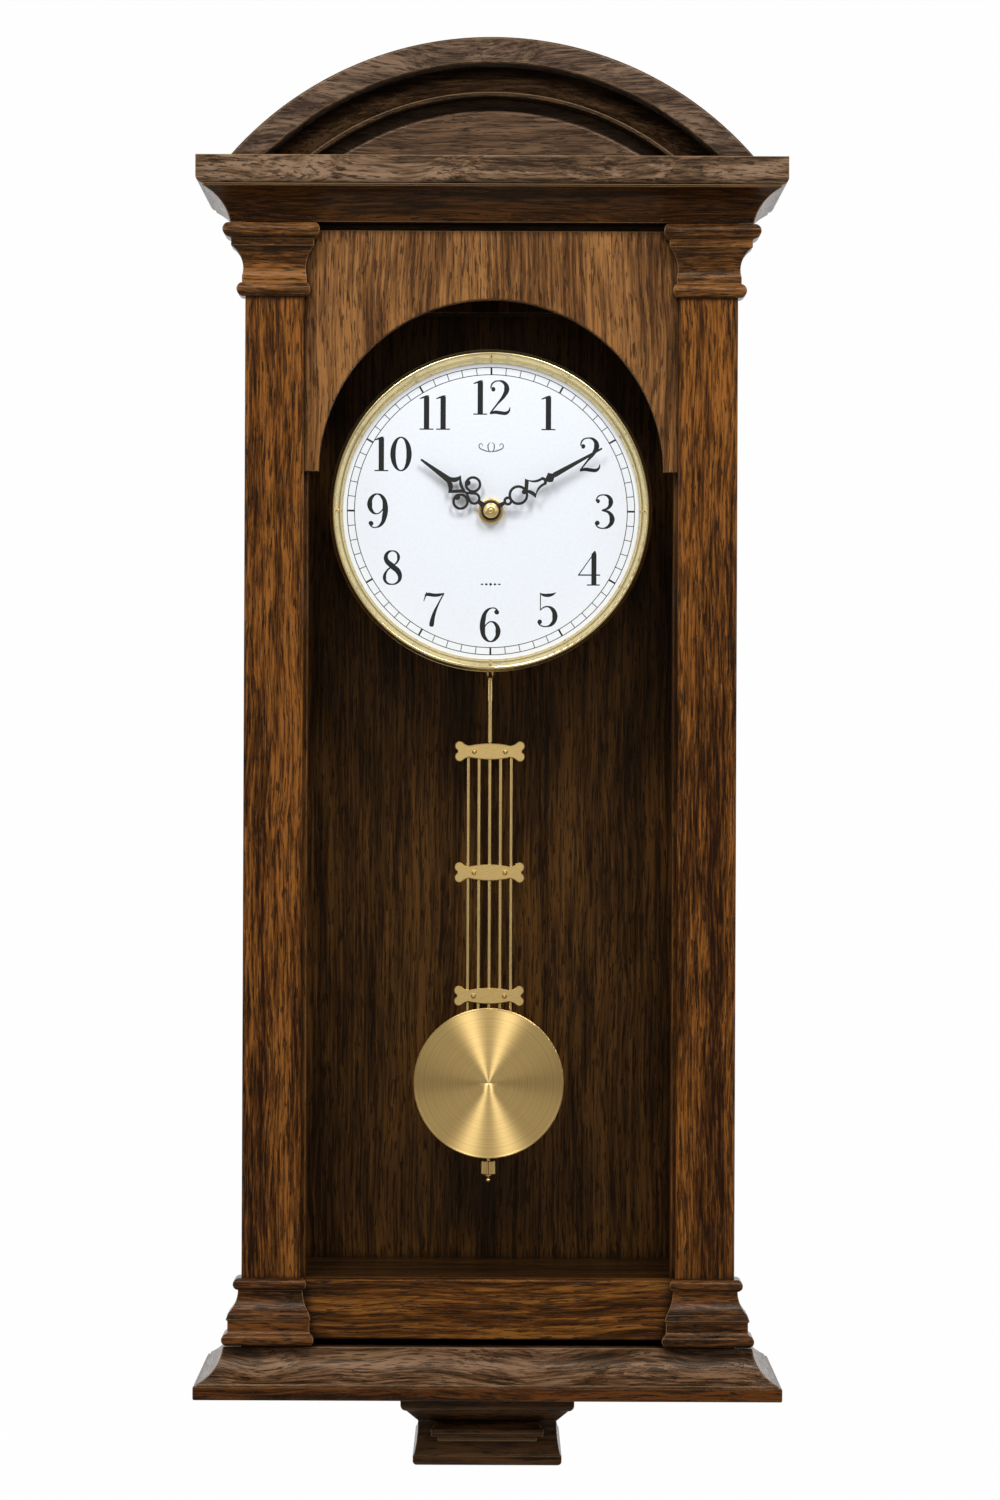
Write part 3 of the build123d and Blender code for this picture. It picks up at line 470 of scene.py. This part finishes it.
# The motor coil and the pendulum coil are wound from enamelled copper wire. The turns are much
# finer than a hair, so they are drawn as ridges 0.4 mm apart that still show close up.
def wound(name, colour, shaded_gap, pitch):
    """Wire wound in even turns, with its pitch in millimetres."""
    material, tree, bsdf, place = surfaced(name, "ShaderNodeBsdfPrincipled")
    # A wave texture of scale 1 repeats every pi / 10 units.
    turns = add_node(
        tree,
        "ShaderNodeTexWave",
        {"wave_type": "BANDS", "bands_direction": "DIAGONAL"},
        {"Vector": place, "Scale": math.pi / (10 * pitch * MM), "Distortion": 0.4},
    ).outputs["Fac"]
    # The grooves between the turns are coloured darker, as painted shade.
    shade = stops(tree, turns, [(0.1, linear(shaded_gap)), (0.5, linear(colour))])
    relief = add_node(
        tree, "ShaderNodeBump", inputs={"Height": turns, "Strength": 0.7, "Distance": 0.1 * MM}
    ).outputs[0]
    bsdf.inputs["Metallic"].default_value = 1.0
    bsdf.inputs["Roughness"].default_value = 0.3
    tree.links.new(shade, bsdf.inputs["Base Color"])
    tree.links.new(relief, bsdf.inputs["Normal"])
    return material


give(wound("enamelled_copper_wire", "#b4622f", "#5a2a12", 0.4), "motor_coil", "pendulum_coil")


# The dial is an aluminium disc sprayed with a cool white enamel. It is matt enough to show no
# reflection, and a very faint orange peel is left by the spray.
def sprayed(name, colour, thin, rough, peel):
    """A sprayed coat whose orange peel has a size in millimetres."""
    material, tree, bsdf, place = surfaced(name, "ShaderNodeBsdfPrincipled")
    waves = add_node(
        tree, "ShaderNodeTexNoise", inputs={"Vector": place, "Scale": 1 / (peel * MM), "Detail": 2.0}
    ).outputs["Fac"]
    shade = stops(tree, waves, [(0.3, linear(thin)), (0.6, linear(colour))])
    relief = add_node(
        tree, "ShaderNodeBump", inputs={"Height": waves, "Strength": 0.12, "Distance": 0.03 * MM}
    ).outputs[0]
    bsdf.inputs["Roughness"].default_value = rough
    tree.links.new(shade, bsdf.inputs["Base Color"])
    tree.links.new(relief, bsdf.inputs["Normal"])
    return material


give(sprayed("white_sprayed_enamel", "#eff5fd", "#ebf1fa", 0.5, 1.5), "dial_plate")

dial_low, dial_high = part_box("dial_plate")
dial_centre = (dial_low + dial_high) / 2
dial_face_y = dial_low.y


# The bezel is spun from sheet brass, polished and lacquered, and four small pins hold it to the
# dial. Spinning leaves very fine turned lines around the ring. The nuts, the rods and the hook
# are turned or drawn brass with the same polish, and no lines that show.
def turned_brass(name, colour, worn, rough, centre, line, anisotropy, groove):
    """Brass finished on the lathe: lines of a width in millimetres run around a Y axis centre."""
    material, tree, bsdf, place = surfaced(name, "ShaderNodeBsdfPrincipled")
    arm = add_node(
        tree, "ShaderNodeVectorMath", {"operation": "SUBTRACT"}, {0: place, 1: tuple(centre)}
    ).outputs[0]
    flat = add_node(
        tree, "ShaderNodeVectorMath", {"operation": "MULTIPLY"}, {0: arm, 1: (1.0, 0.0, 1.0)}
    ).outputs[0]
    radius = add_node(tree, "ShaderNodeVectorMath", {"operation": "LENGTH"}, {0: flat}).outputs["Value"]
    lines = add_node(
        tree,
        "ShaderNodeTexNoise",
        {"noise_dimensions": "1D"},
        {"W": radius, "Scale": 1 / (line * MM), "Detail": 3.0, "Roughness": 0.7},
    ).outputs["Fac"]
    shade = stops(tree, lines, [(0.32, linear(worn)), (0.62, linear(colour))])
    relief = add_node(
        tree, "ShaderNodeBump", inputs={"Height": lines, "Strength": 0.25, "Distance": groove * MM}
    ).outputs[0]
    outward = add_node(
        tree,
        "ShaderNodeVectorTransform",
        {"vector_type": "VECTOR", "convert_from": "OBJECT", "convert_to": "WORLD"},
        {"Vector": flat},
    ).outputs[0]
    bsdf.inputs["Metallic"].default_value = 1.0
    bsdf.inputs["Roughness"].default_value = rough
    bsdf.inputs["Anisotropic"].default_value = anisotropy
    for socket, value in {"Base Color": shade, "Normal": relief, "Tangent": outward}.items():
        tree.links.new(value, bsdf.inputs[socket])
    return material


give(
    turned_brass(
        "spun_lacquered_brass", "#f2e2ae", "#e8d39a", 0.27, dial_centre,
        line=1.2, anisotropy=0.3, groove=0.002,
    ),
    "dial_bezel",
)
polished_brass = metal(
    "polished_lacquered_brass", "#f4d895", "#e9c883", 0.28, cloud=20.0, spread=0.05, dent=0.0005
)
give(
    polished_brass,
    "bezel_pins",
    "movement_ring_nut",
    "hand_nut",
    "pendulum_hook",
    "pendulum_rod",
    "lyre_rods",
    "lyre_rivets",
    "rating_nut",
)

# The three cross plates are stamped from brass sheet, brushed and lacquered. The stamping is
# tumbled afterwards, which leaves the narrow bright bevel around each front edge.
PLATE_BEVEL = 0.4 * MM
PLATE_WELD = 0.002 * MM
PLATE_FLAT_ANGLE = 1.0
PLATE_SMOOTH_ANGLE = 25.0
FACES_FRONT = -0.9
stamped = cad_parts["lyre_plates"]
plates = bpy.data.objects.new("bevelled_lyre_plates", stamped.data.copy())
bpy.context.scene.collection.objects.link(plates)
bpy.ops.object.select_all(action="DESELECT")
plates.select_set(True)
bpy.context.view_layer.objects.active = plates
bpy.ops.mesh.customdata_custom_splitnormals_clear()
bpy.ops.object.mode_set(mode="EDIT")
bpy.ops.mesh.select_all(action="SELECT")
bpy.ops.mesh.remove_doubles(threshold=PLATE_WELD)
bpy.ops.mesh.normals_make_consistent(inside=False)
bpy.ops.mesh.dissolve_limited(angle_limit=math.radians(PLATE_FLAT_ANGLE))
bpy.ops.mesh.select_all(action="DESELECT")
bpy.ops.object.mode_set(mode="OBJECT")
for face in plates.data.polygons:
    face.select = face.normal.y < FACES_FRONT
bpy.ops.object.mode_set(mode="EDIT")
bpy.ops.mesh.select_mode(type="FACE")
bpy.ops.mesh.region_to_loop()
bpy.ops.mesh.bevel(offset=PLATE_BEVEL, segments=1)
bpy.ops.mesh.select_all(action="SELECT")
bpy.ops.mesh.normals_make_consistent(inside=False)
bpy.ops.mesh.select_mode(type="VERT")
bpy.ops.object.mode_set(mode="OBJECT")
bpy.ops.object.shade_smooth_by_angle(angle=math.radians(PLATE_SMOOTH_ANGLE))
plates.data.materials.clear()
brushed_brass = metal(
    "brushed_lacquered_brass",
    "#f3d692",
    "#e7c47c",
    0.44,
    cloud=3.0,
    along=(1.0, 9.0, 9.0),
    spread=0.05,
    dent=0.01,
)
plates.data.materials.append(brushed_brass)
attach(plates, "pendulum")
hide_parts("lyre_plates")

# The hour and minute hands are stamped from steel sheet 0.7 mm thick and stoved black, which
# leaves a smooth coat with a low sheen and slightly softened edges.
give(sprayed("black_stoved_lacquer", "#0d0c0b", "#080707", 0.5, 0.8), "hour_hand", "minute_hand")


# The dial's printing is black ink laid down by a pad in strokes a few hundredths thick. Each
# numeral is upright, in a face with heavy stems, hairline joins, flat feet and ball terminals.
NUMERAL_HEIGHT = 17.6 * MM
NUMERAL_CIRCLE = 57.9 * MM
NUMERAL_GAP = 0.06
INK_THICKNESS = 0.02 * MM
BALL = 0.068


def smooth(*points):
    """A stroke that curves through (x, height, half width) points."""
    return "AUTO", points


def straight(*points):
    """A stroke with straight runs between (x, height, half width) points."""
    return "VECTOR", points


def oval(width, hair, stem, count=16):
    """A closed oval stroke, as wide as it says, whose sides are heavier than its ends."""
    turns = [2 * math.pi * i / count for i in range(count)]
    return "CYCLIC", [
        (
            width / 2 + (width / 2 - stem) * math.cos(turn),
            0.5 + (0.5 - hair) * math.sin(turn),
            hair + (stem - hair) * abs(math.cos(turn)) ** 1.6,
        )
        for turn in turns
    ]


six = [
    smooth(
        (0.53, 0.87, 0.02), (0.47, 0.96, 0.02), (0.35, 0.985, 0.016), (0.19, 0.89, 0.045),
        (0.1, 0.66, 0.074), (0.08, 0.38, 0.078), (0.15, 0.12, 0.052), (0.31, 0.016, 0.018),
        (0.47, 0.11, 0.05), (0.53, 0.31, 0.076), (0.46, 0.52, 0.046), (0.33, 0.59, 0.018),
        (0.2, 0.52, 0.018), (0.12, 0.4, 0.018),
    ),
    smooth(
        (0.42, 0.87, 0.02), (0.45, 0.87, 0.06), (0.49, 0.865, BALL), (0.53, 0.86, 0.06),
        (0.56, 0.86, 0.02),
    ),
]
DIGITS = {
    "0": (0.62, [oval(0.62, 0.018, 0.078)]),
    "1": (
        0.42,
        [
            straight((0.22, 0.0, 0.078), (0.22, 0.96, 0.078), (0.22, 0.965, 0.078)),
            straight((0.02, 0.018, 0.018), (0.42, 0.018, 0.018)),
            smooth((0.02, 0.9, 0.014), (0.12, 0.935, 0.026), (0.22, 0.97, 0.03), (0.295, 0.995, 0.006)),
        ],
    ),
    "2": (
        0.6,
        [
            smooth(
                (0.04, 0.76, 0.018), (0.09, 0.91, 0.022), (0.27, 0.983, 0.018), (0.44, 0.92, 0.048),
                (0.505, 0.75, 0.078), (0.43, 0.56, 0.055), (0.24, 0.32, 0.026), (0.03, 0.05, 0.02),
            ),
            smooth(
                (0.06, 0.74, 0.02), (0.08, 0.74, 0.06), (0.11, 0.74, BALL), (0.15, 0.74, 0.06),
                (0.175, 0.74, 0.02),
            ),
            smooth(
                (0.02, 0.04, 0.03), (0.17, 0.075, 0.05), (0.34, 0.055, 0.052), (0.49, 0.05, 0.05),
                (0.57, 0.11, 0.03), (0.6, 0.22, 0.012),
            ),
        ],
    ),
    "3": (
        0.6,
        [
            smooth(
                (0.05, 0.81, 0.018), (0.12, 0.94, 0.02), (0.28, 0.983, 0.018), (0.43, 0.92, 0.048),
                (0.48, 0.77, 0.07), (0.41, 0.61, 0.04), (0.22, 0.535, 0.016),
            ),
            smooth(
                (0.22, 0.535, 0.016), (0.43, 0.47, 0.045), (0.52, 0.28, 0.078), (0.44, 0.09, 0.05),
                (0.27, 0.016, 0.018), (0.1, 0.06, 0.02), (0.025, 0.18, 0.018),
            ),
            smooth(
                (0.06, 0.8, 0.02), (0.08, 0.8, 0.054), (0.11, 0.8, 0.06), (0.14, 0.8, 0.054),
                (0.165, 0.8, 0.02),
            ),
            smooth(
                (0.03, 0.17, 0.02), (0.05, 0.17, 0.06), (0.09, 0.17, BALL), (0.13, 0.17, 0.06),
                (0.16, 0.17, 0.02),
            ),
        ],
    ),
    "4": (
        0.64,
        [
            straight((0.46, 0.0, 0.074), (0.46, 0.9, 0.074), (0.49, 1.0, 0.02)),
            straight((0.5, 0.995, 0.012), (0.02, 0.31, 0.016)),
            straight((0.0, 0.305, 0.02), (0.64, 0.305, 0.02)),
            straight((0.26, 0.018, 0.018), (0.63, 0.018, 0.018)),
        ],
    ),
    "5": (
        0.6,
        [
            smooth(
                (0.08, 0.985, 0.008), (0.18, 0.93, 0.04), (0.34, 0.92, 0.052), (0.46, 0.95, 0.034),
                (0.55, 1.0, 0.008),
            ),
            straight((0.1, 0.97, 0.014), (0.1, 0.48, 0.014)),
            smooth(
                (0.1, 0.485, 0.014), (0.19, 0.565, 0.02), (0.32, 0.59, 0.022), (0.46, 0.5, 0.058),
                (0.52, 0.31, 0.078), (0.45, 0.1, 0.052), (0.28, 0.016, 0.018), (0.1, 0.05, 0.02),
                (0.02, 0.15, 0.018),
            ),
            smooth(
                (0.02, 0.15, 0.02), (0.04, 0.15, 0.06), (0.08, 0.15, BALL), (0.12, 0.15, 0.06),
                (0.145, 0.15, 0.02),
            ),
        ],
    ),
    "6": (0.62, six),
    "7": (
        0.6,
        [
            smooth((0.01, 0.73, 0.01), (0.06, 0.88, 0.02), (0.1, 1.0, 0.012)),
            smooth(
                (0.04, 0.9, 0.02), (0.14, 0.93, 0.05), (0.3, 0.91, 0.05), (0.46, 0.92, 0.045),
                (0.6, 0.965, 0.014),
            ),
            smooth(
                (0.59, 0.95, 0.016), (0.43, 0.65, 0.024), (0.31, 0.37, 0.048), (0.245, 0.1, 0.07),
                (0.24, 0.04, 0.066),
            ),
            smooth(
                (0.175, 0.05, 0.02), (0.2, 0.05, 0.05), (0.24, 0.05, 0.058), (0.28, 0.05, 0.05),
                (0.305, 0.05, 0.02),
            ),
        ],
    ),
    "8": (
        0.62,
        [
            (
                "CYCLIC",
                [
                    (0.31, 0.983, 0.018), (0.16, 0.91, 0.045), (0.13, 0.74, 0.066), (0.3, 0.55, 0.082),
                    (0.49, 0.37, 0.078), (0.53, 0.2, 0.056), (0.46, 0.07, 0.032), (0.31, 0.016, 0.018),
                    (0.14, 0.07, 0.034), (0.085, 0.22, 0.05), (0.15, 0.4, 0.028), (0.32, 0.55, 0.018),
                    (0.45, 0.66, 0.026), (0.49, 0.8, 0.045), (0.44, 0.93, 0.028),
                ],
            ),
        ],
    ),
    "9": (0.62, [(kind, [(0.62 - x, 1 - up, half) for x, up, half in points]) for kind, points in six]),
}


def printed(name, strokes, material, size=1.0, x=0.0, up=0.0):
    """One printed figure: strokes, in units of a size, around a point of the dial's face."""
    curve = bpy.data.curves.new(name, "CURVE")
    curve.dimensions = "3D"
    curve.bevel_depth = size
    curve.bevel_resolution = 2
    curve.resolution_u = 6
    curve.use_fill_caps = True
    for kind, points in strokes:
        spline = curve.splines.new("BEZIER")
        spline.bezier_points.add(len(points) - 1)
        spline.use_cyclic_u = kind == "CYCLIC"
        for point, (right, high, half) in zip(spline.bezier_points, points):
            handle = "VECTOR" if kind == "VECTOR" else "AUTO"
            point.co = (right * size + x, high * size + up, 0.0)
            point.radius = half
            point.handle_left_type = handle
            point.handle_right_type = handle
    figure = bpy.data.objects.new(name, curve)
    bpy.context.scene.collection.objects.link(figure)
    bpy.ops.object.select_all(action="DESELECT")
    figure.select_set(True)
    bpy.context.view_layer.objects.active = figure
    bpy.ops.object.convert(target="MESH")
    figure = bpy.context.view_layer.objects.active
    # The round strokes are pressed flat, stood upright and set halfway into the dial's face.
    widest = max(abs(v.co.z) for v in figure.data.vertices)
    flatten = Matrix.Diagonal((1.0, 1.0, INK_THICKNESS / widest, 1.0))
    stand = Euler((math.pi / 2, 0.0, 0.0)).to_matrix().to_4x4()
    put = Matrix.Translation((dial_centre.x, dial_face_y, dial_centre.z))
    figure.data.transform(put @ stand @ flatten)
    figure.data.materials.clear()
    figure.data.materials.append(material)
    bpy.ops.object.shade_smooth()
    figure.select_set(False)
    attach(figure, "case")
    return figure


black_ink = sprayed("black_pad_printing_ink", "#0d0e11", "#070809", 0.75, 0.6)
for hour in range(1, 13):
    strokes = []
    width = -NUMERAL_GAP
    for digit in str(hour):
        digit_width, digit_strokes = DIGITS[digit]
        start = width + NUMERAL_GAP
        for kind, points in digit_strokes:
            strokes.append((kind, [(x + start, high, half) for x, high, half in points]))
        width = start + digit_width
    angle = hour * math.pi / 6
    printed(
        f"numeral_{hour}",
        strokes,
        black_ink,
        NUMERAL_HEIGHT,
        NUMERAL_CIRCLE * math.sin(angle) - width * NUMERAL_HEIGHT / 2,
        NUMERAL_CIRCLE * math.cos(angle) - NUMERAL_HEIGHT / 2,
    )

# The minute track is printed with the numerals: two hairline circles, a hairline for each minute
# between them and a bar for each hour.
TRACK_OUTER = 73.2
TRACK_INNER = 69.5
HAIRLINE = 0.2
HOUR_BAR = 0.48


def circle(radius, half, count=60):
    """A closed stroke around the dial's centre."""
    turns = [2 * math.pi * i / count for i in range(count)]
    return "CYCLIC", [(radius * math.sin(turn), radius * math.cos(turn), half) for turn in turns]


track = [circle(TRACK_OUTER, HAIRLINE), circle(TRACK_INNER, HAIRLINE)]
for minute in range(60):
    angle = minute * math.pi / 30
    half = HOUR_BAR if minute % 5 == 0 else HAIRLINE
    ends = [
        (radius * math.sin(angle), radius * math.cos(angle), half)
        for radius in (TRACK_INNER, TRACK_OUTER)
    ]
    track.append(straight(*ends))
printed("minute_track", track, black_ink, MM)

# Two small printed ornaments fill the places above and below the centre: a hairline scroll with
# three leaves under the twelve, and a bar of lozenges above the six.
SCROLL_UP = 32.5
LOZENGES_UP = -37.3
LOZENGE_PITCH = 2.2
LOZENGE_HALF_WIDTH = 0.8
LOZENGE_HALF_HEIGHT = 0.85
LOZENGE_TAPER = 0.18
LOZENGE_TIP = 0.04
grey_ink = sprayed("grey_pad_printing_ink", "#4b4d52", "#3f4146", 0.5, 0.6)
scroll = [
    smooth((-0.5, 2.6, 0.12), (-1.6, 1.0, 0.3), (0.0, -2.3, 0.22), (1.6, 1.0, 0.3), (0.5, 2.6, 0.12)),
    smooth((0.0, -2.3, 0.2), (-3.4, -1.6, 0.3), (-6.2, 0.4, 0.26), (-5.2, 1.9, 0.2), (-4.2, 0.6, 0.14)),
    smooth((0.0, -2.3, 0.2), (3.4, -1.6, 0.3), (6.2, 0.4, 0.26), (5.2, 1.9, 0.2), (4.2, 0.6, 0.14)),
]
printed("upper_dial_ornament", scroll, grey_ink, MM, 0.0, SCROLL_UP * MM)
lozenges = []
for step in (-2, -1, 0, 1, 2):
    middle = step * LOZENGE_PITCH
    half = LOZENGE_HALF_HEIGHT - abs(step) * LOZENGE_TAPER
    lozenges.append(
        straight(
            (middle - LOZENGE_HALF_WIDTH, 0.0, LOZENGE_TIP),
            (middle, 0.0, half),
            (middle + LOZENGE_HALF_WIDTH, 0.0, LOZENGE_TIP),
        )
    )
printed("lower_dial_ornament", lozenges, black_ink, MM, 0.0, LOZENGES_UP * MM)

# The bob gets its weight from a steel disc behind the brass one. It is cut from plate and
# chemically blackened, which leaves a dark, slightly cloudy and oily surface.
give(metal("blackened_steel", "#2c2823", "#1d1a17", 0.4, cloud=4.0), "bob_weight")

# The pendulum bob is a brass disc that is pressed, then brushed in circles on the lathe and
# lacquered. The brushing draws each light out into a bright wedge through the centre.
bob_low, bob_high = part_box("pendulum_bob")
bob_centre = (bob_low + bob_high) / 2
give(
    turned_brass(
        "circular_brushed_brass", "#ffe09a", "#eec67c", 0.46, bob_centre,
        line=0.6, anisotropy=0.97, groove=0.004,
    ),
    "pendulum_bob",
)

# The studio has a pale floor well below the clock and an evenly lit white backdrop behind it,
# both plain painted board. The backdrop stands so far off that the clock's back can be seen too.
FLOOR_Z = -1.5
BACKDROP_Y = 3.4
ROOM_SIZE = 12.0
ROOM_FILL = 0.3
bpy.ops.mesh.primitive_plane_add(size=ROOM_SIZE, location=(0, 0, FLOOR_Z))
floor = bpy.context.object
floor.name = "studio_floor"
floor.data.materials.append(moulded("pale_studio_floor", "#e6e5e2", "#e2e1de", 0.7, 6.0))
upright = (math.pi / 2, 0, 0)
bpy.ops.mesh.primitive_plane_add(size=ROOM_SIZE, location=(0, BACKDROP_Y, 0), rotation=upright)
backdrop = bpy.context.object
backdrop.name = "lit_backdrop"
white_light, _, emission, _ = surfaced("lit_white_backdrop", "ShaderNodeEmission")
emission.inputs["Color"].default_value = linear("#fefefe")
emission.inputs["Strength"].default_value = 1.0
backdrop.data.materials.append(white_light)
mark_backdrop(floor, backdrop)

world = bpy.data.worlds.new("dim_studio")
world.use_nodes = True
surround = world.node_tree.nodes["Background"]
surround.inputs["Color"].default_value = linear("#fff9f2")
surround.inputs["Strength"].default_value = ROOM_FILL
bpy.context.scene.world = world


# Two soft boxes hang above the camera, one on each side, and two taller, weaker ones fill from
# the sides. All are aimed at the clock's middle, and their places are metres from it.
UPPER_LIGHT = {"across": 0.38, "up": 0.95, "away": 1.05, "width": 0.26, "height": 0.5, "power": 7.8}
SIDE_LIGHT = {"across": 1.5, "up": 0.5, "away": 1.3, "width": 0.7, "height": 1.2, "power": 4.0}
clock_middle = (Vector(cad_box[0]) + Vector(cad_box[1])) / 2


def softbox(name, side, across, up, away, width, height, power):
    """A soft area light on the left (-1) or the right (1)."""
    light = bpy.data.lights.new(name, "AREA")
    light.shape = "RECTANGLE"
    light.size = width
    light.size_y = height
    light.energy = power
    lamp = bpy.data.objects.new(name, light)
    lamp.location = clock_middle + Vector((side * across, -away, up))
    lamp.rotation_euler = (clock_middle - lamp.location).to_track_quat("-Z", "Y").to_euler()
    bpy.context.scene.collection.objects.link(lamp)


for side in (-1, 1):
    softbox(f"upper_softbox_{side}", side, **UPPER_LIGHT)
    softbox(f"side_softbox_{side}", side, **SIDE_LIGHT)

# The camera stands straight in front of the clock, level with its middle, and leans over by a
# fraction of a degree. Its long lens keeps the case's upright edges parallel.
CAMERA_AWAY = 2.53
CAMERA_Z = -0.245
CAMERA_ROLL = -0.23
CAMERA_LENS = 115.2
CAMERA_SENSOR = 36.0
CAMERA_SHIFT = (0.0067, -0.0033)
camera_data = bpy.data.cameras.new("camera")
camera_data.lens = CAMERA_LENS
camera_data.sensor_width = CAMERA_SENSOR
camera_data.shift_x, camera_data.shift_y = CAMERA_SHIFT
camera = bpy.data.objects.new("camera", camera_data)
camera.location = (0.0, -CAMERA_AWAY, CAMERA_Z)
camera.rotation_euler = (math.pi / 2, math.radians(CAMERA_ROLL), 0.0)
bpy.context.scene.collection.objects.link(camera)
bpy.context.scene.camera = camera
bpy.context.scene.view_settings.view_transform = "Standard"

lowest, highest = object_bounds()
